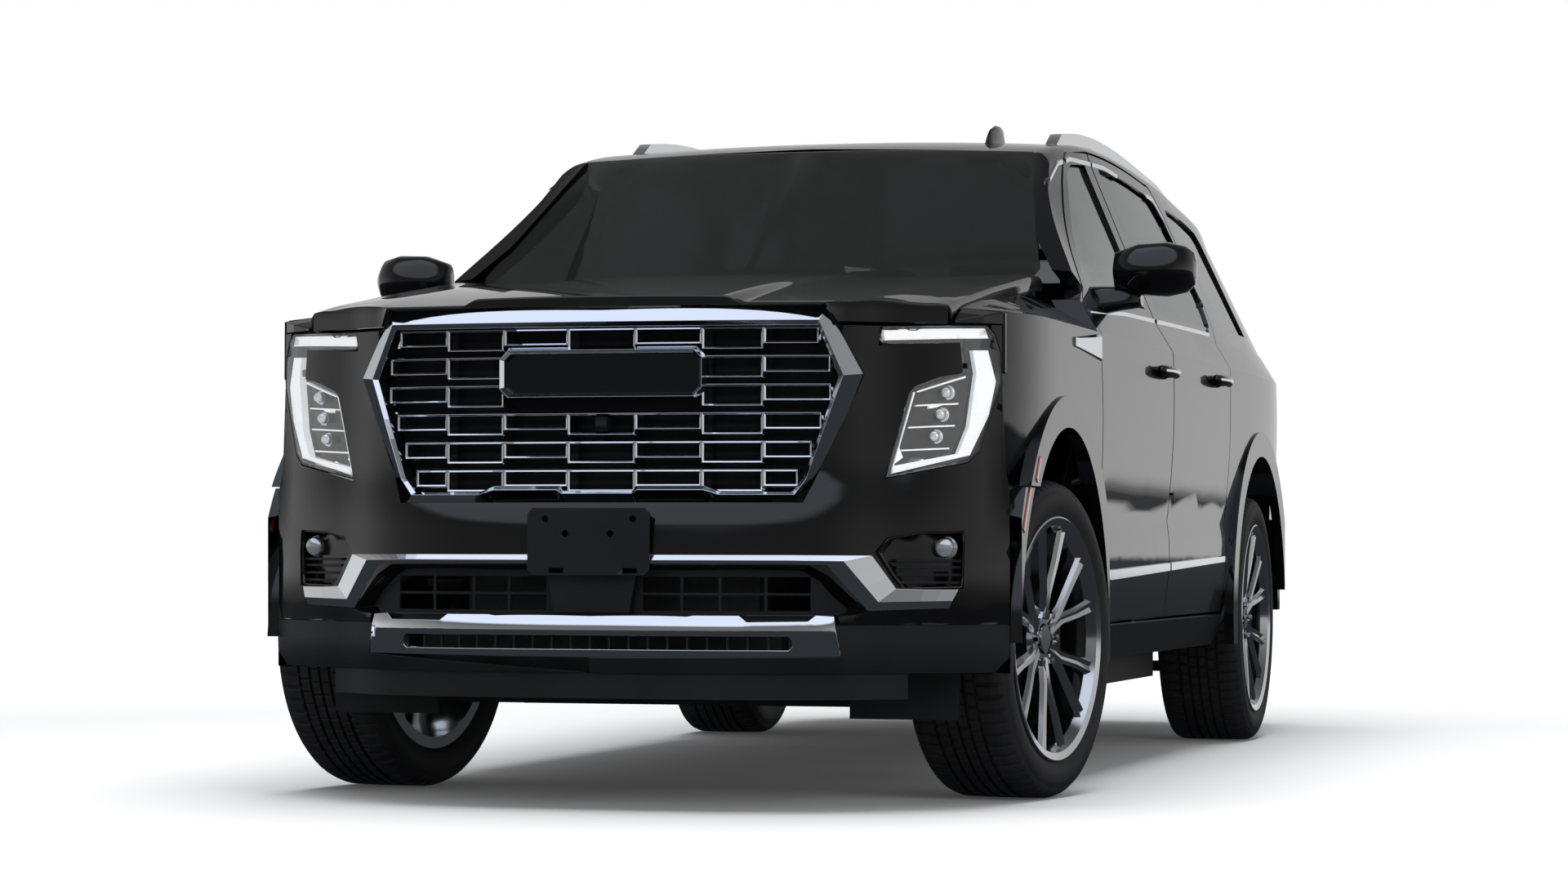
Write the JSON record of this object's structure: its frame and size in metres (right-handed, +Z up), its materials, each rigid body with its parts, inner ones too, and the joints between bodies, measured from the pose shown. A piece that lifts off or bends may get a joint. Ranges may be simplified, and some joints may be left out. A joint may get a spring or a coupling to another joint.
{
  "type": "full-size sport utility vehicle",
  "caption": "Long-wheelbase sport utility vehicle with hinged doors, hood and liftgate, steered front wheels, turning wheels and a hollow three-row cabin.",
  "frame": {"origin": "on the ground, at the centre of the vehicle's length and width", "axes": "+Z up, nose towards -Y, the vehicle's left side towards +X"},
  "size_m": [2.4594, 5.7272, 1.9619],
  "materials": {
    "black_paint": "gloss clear coat",
    "bright_chrome": "bright plated",
    "cabin_plastic": "soft grain",
    "cast_iron": "as cast",
    "chassis_coating": "satin black",
    "dark_plastic": "fine grained",
    "lamp_lens": "clear lens",
    "polished_alloy": "polished",
    "seat_leather": "semi-aniline",
    "tinted_glass": "tinted",
    "tyre_rubber": "matt"
  },
  "bodies": {
    "vehicle": {"aerial_fin": "dark_plastic", "body_side_left": "black_paint", "body_side_right": "black_paint", "bumper_trim": "bright_chrome", "cooling_module": "chassis_coating", "cowl": "dark_plastic", "dashboard": "cabin_plastic", "driveline": "chassis_coating", "engine_block": "cast_iron", "exhaust_system": "chassis_coating", "floor_pan": "chassis_coating", "front_bumper": "black_paint", "front_fenders": "black_paint", "front_lamps": "lamp_lens", "front_suspension": "chassis_coating", "fuel_tank": "chassis_coating", "grille_frame": "bright_chrome", "grille_lattice": "bright_chrome", "ladder_frame": "chassis_coating", "plate_bracket": "dark_plastic", "quarter_glass": "tinted_glass", "rear_bumper": "black_paint", "rear_suspension": "chassis_coating", "rocker_mouldings": "dark_plastic", "roof_panel": "black_paint", "roof_rails": "bright_chrome", "seats": "seat_leather", "spare_wheel": "chassis_coating", "tail_lamps": "lamp_lens", "valance": "dark_plastic", "windshield": "tinted_glass"},
    "wheel_assembly_front_left": {"wheel_front_left": "polished_alloy", "tyre_front_left": "tyre_rubber"},
    "wheel_assembly_front_right": {"wheel_front_right": "polished_alloy", "tyre_front_right": "tyre_rubber"},
    "wheel_assembly_rear_left": {"wheel_rear_left": "polished_alloy", "tyre_rear_left": "tyre_rubber"},
    "wheel_assembly_rear_right": {"wheel_rear_right": "polished_alloy", "tyre_rear_right": "tyre_rubber"},
    "steer_left_body": {"knuckle_left": "cast_iron"},
    "steer_right_body": {"knuckle_right": "cast_iron"},
    "steering_wheel_body": {"steering_wheel": "cabin_plastic"},
    "front_door_left": {"door_front_left": "black_paint", "glass_front_left": "tinted_glass", "mirror_left": "dark_plastic"},
    "front_door_right": {"door_front_right": "black_paint", "glass_front_right": "tinted_glass", "mirror_right": "dark_plastic"},
    "rear_door_left": {"door_rear_left": "black_paint", "glass_rear_left": "tinted_glass"},
    "rear_door_right": {"door_rear_right": "black_paint", "glass_rear_right": "tinted_glass"},
    "hood_body": {"hood": "black_paint"},
    "liftgate_body": {"liftgate": "black_paint", "liftgate_glass": "tinted_glass"}
  },
  "joints": [
    {"name": "steer_left", "type": "hinge", "parent": "vehicle", "child": "steer_left_body", "pos_m": [0.8, -1.904, 0.419], "axis": [0, 0, 1], "range_deg": [-23.6, 42.4]},
    {"name": "wheel_spin_front_left", "type": "hinge", "parent": "steer_left_body", "child": "wheel_assembly_front_left", "pos_m": [0.86709, -1.91511, 0.419], "axis": [0.9866, -0.1633, 0], "continuous": true},
    {"name": "wheel_spin_rear_left", "type": "hinge", "parent": "vehicle", "child": "wheel_assembly_rear_left", "pos_m": [0.868, 1.503, 0.419], "axis": [1, 0, 0], "continuous": true},
    {"name": "steer_right", "type": "hinge", "parent": "vehicle", "child": "steer_right_body", "pos_m": [-0.8, -1.904, 0.419], "axis": [0, 0, 1], "range_deg": [-23.6, 42.4]},
    {"name": "wheel_spin_front_right", "type": "hinge", "parent": "steer_right_body", "child": "wheel_assembly_front_right", "pos_m": [-0.86709, -1.89289, 0.419], "axis": [0.9866, -0.1633, 0], "continuous": true},
    {"name": "wheel_spin_rear_right", "type": "hinge", "parent": "vehicle", "child": "wheel_assembly_rear_right", "pos_m": [-0.868, 1.503, 0.419], "axis": [1, 0, 0], "continuous": true},
    {"name": "steering_wheel_turn", "type": "hinge", "parent": "vehicle", "child": "steering_wheel_body", "pos_m": [0.4, -0.844, 1.085], "axis": [0, 0.9063, 0.4226], "range_deg": [-365, 650]},
    {"name": "front_door_left_hinge", "type": "hinge", "parent": "vehicle", "child": "front_door_left", "pos_m": [1.003, -1.319, 0.85], "axis": [0, 0, -1], "range_deg": [0, 66]},
    {"name": "rear_door_left_hinge", "type": "hinge", "parent": "vehicle", "child": "rear_door_left", "pos_m": [1.003, -0.17, 0.85], "axis": [0, 0, -1], "range_deg": [0, 66]},
    {"name": "front_door_right_hinge", "type": "hinge", "parent": "vehicle", "child": "front_door_right", "pos_m": [-1.003, -1.319, 0.85], "axis": [0, 0, 1], "range_deg": [0, 66]},
    {"name": "rear_door_right_hinge", "type": "hinge", "parent": "vehicle", "child": "rear_door_right", "pos_m": [-1.003, -0.17, 0.85], "axis": [0, 0, 1], "range_deg": [0, 66]},
    {"name": "hood_hinge", "type": "hinge", "parent": "vehicle", "child": "hood_body", "pos_m": [0, -1.414, 1.396], "axis": [-1, 0, 0], "range_deg": [0, 48]},
    {"name": "liftgate_hinge", "type": "hinge", "parent": "vehicle", "child": "liftgate_body", "pos_m": [0, 2.548, 1.796], "axis": [1, 0, 0], "range_deg": [0, 85]}
  ],
  "couplings": [
    {"joint": "steer_right", "follows": "steer_left", "ratio": 1}
  ]
}
